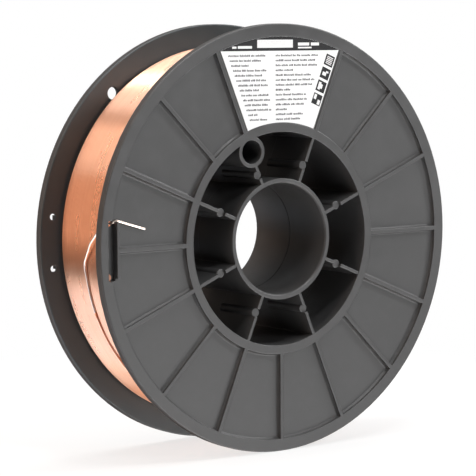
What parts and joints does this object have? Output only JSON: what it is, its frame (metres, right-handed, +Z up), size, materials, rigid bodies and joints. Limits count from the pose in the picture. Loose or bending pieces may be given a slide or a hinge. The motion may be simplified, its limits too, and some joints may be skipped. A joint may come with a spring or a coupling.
{
  "type": "welding wire spool",
  "caption": "Full MIG welding wire spool: ribbed two-part plastic spool with a centre bore and a drive hole, wound with copper-coated steel wire.",
  "frame": {"origin": "on the bore's axis, half-way between the two faces", "axes": "+Y along the bore from the labelled face to the other face, +Z up through the label; the spool stands on its two rims at -Z"},
  "size_m": [0.2, 0.055, 0.2],
  "materials": {
    "spool_plastic": "satin moulded dark grey plastic",
    "coated_wire": "bright drawn steel wire with a thin copper coat",
    "label_paper": "white printed paper label"
  },
  "bodies": {
    "root": {"front_half": "spool_plastic", "rear_half": "spool_plastic", "wire_winding": "coated_wire", "wire_end": "coated_wire", "label": "label_paper"}
  },
  "joints": []
}
